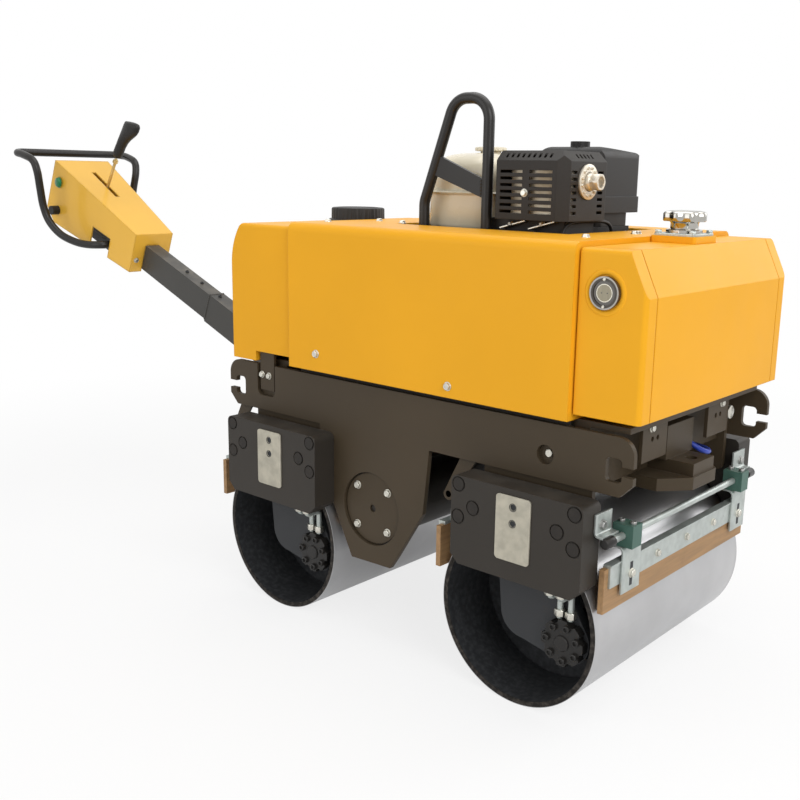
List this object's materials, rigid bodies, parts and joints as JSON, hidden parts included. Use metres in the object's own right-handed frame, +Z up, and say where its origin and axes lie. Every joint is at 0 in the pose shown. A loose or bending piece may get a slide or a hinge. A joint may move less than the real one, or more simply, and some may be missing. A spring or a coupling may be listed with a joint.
{
  "type": "road roller",
  "caption": "Walk-behind road roller with two smooth drums, side frame plates, a hood with engine, scrapers, a lift hoop and a hinged drawbar with control box and handlebar.",
  "frame": {"origin": "on the ground, at the middle of the overall length and width", "axes": "+X forward, away from the handle; +Y to the machine's left; +Z up"},
  "size_m": [2.4703, 0.758, 1.2721],
  "materials": {
    "frame_paint": "satin",
    "box_paint": "satin",
    "black_metal": "satin",
    "rubber": "matte",
    "bare_steel": "satin",
    "drum_steel": "polished",
    "yellow_paint": "gloss",
    "chrome": "polished",
    "lens": "clear",
    "black_plastic": "matte",
    "cream_paint": "gloss",
    "zinc": "satin",
    "green_paint": "satin",
    "board": "matte",
    "green_plastic": "gloss"
  },
  "bodies": {
    "chassis": {"frame_side_right": "frame_paint", "frame_side_left": "frame_paint", "frame_cross": "frame_paint", "hitch": "frame_paint", "pivot_fork": "frame_paint", "exciter_covers": "frame_paint", "hood_brackets": "frame_paint", "support_boxes": "box_paint", "drum_legs": "box_paint", "exciter_case": "black_metal", "drive_motors": "black_metal", "engine_block": "black_metal", "muffler_guard": "black_metal", "lift_hoop": "black_metal", "rubber_mounts": "rubber", "motor_hoses": "rubber", "muffler": "bare_steel", "box_plates": "bare_steel", "drum_axles": "bare_steel", "pivot_pin": "bare_steel", "exhaust_outlet": "bare_steel", "hood": "yellow_paint", "water_tank": "yellow_paint", "oil_tank": "yellow_paint", "filler_flange": "yellow_paint", "lamp_rings": "chrome", "filler_cap": "chrome", "scraper_rods": "chrome", "lamp_lenses": "lens", "oil_cap": "black_plastic", "air_cleaner": "black_plastic", "fuel_tank": "cream_paint", "fuel_cap": "cream_paint", "scraper_brackets": "zinc", "scraper_straps": "zinc", "scraper_channels": "zinc", "scraper_clamps": "green_paint", "scraper_boards": "board"},
    "front_drum_body": {"front_drum": "drum_steel"},
    "rear_drum_body": {"rear_drum": "drum_steel"},
    "handle": {"drawbar": "frame_paint", "control_box": "yellow_paint", "handlebar": "black_metal", "lever_rod": "bare_steel", "lever_grip": "rubber", "start_button": "green_plastic", "throttle_knob": "black_plastic"}
  },
  "joints": [
    {"name": "front_drum_spin", "type": "hinge", "parent": "chassis", "child": "front_drum_body", "pos_m": [0.98062, 0, 0.195], "axis": [0, 1, 0], "continuous": true},
    {"name": "rear_drum_spin", "type": "hinge", "parent": "chassis", "child": "rear_drum_body", "pos_m": [0.24562, 0, 0.195], "axis": [0, 1, 0], "continuous": true},
    {"name": "handle_tilt", "type": "hinge", "parent": "chassis", "child": "handle", "pos_m": [0.00112, 0, 0.51], "axis": [0, 1, 0], "range_deg": [-12, 65]}
  ]
}
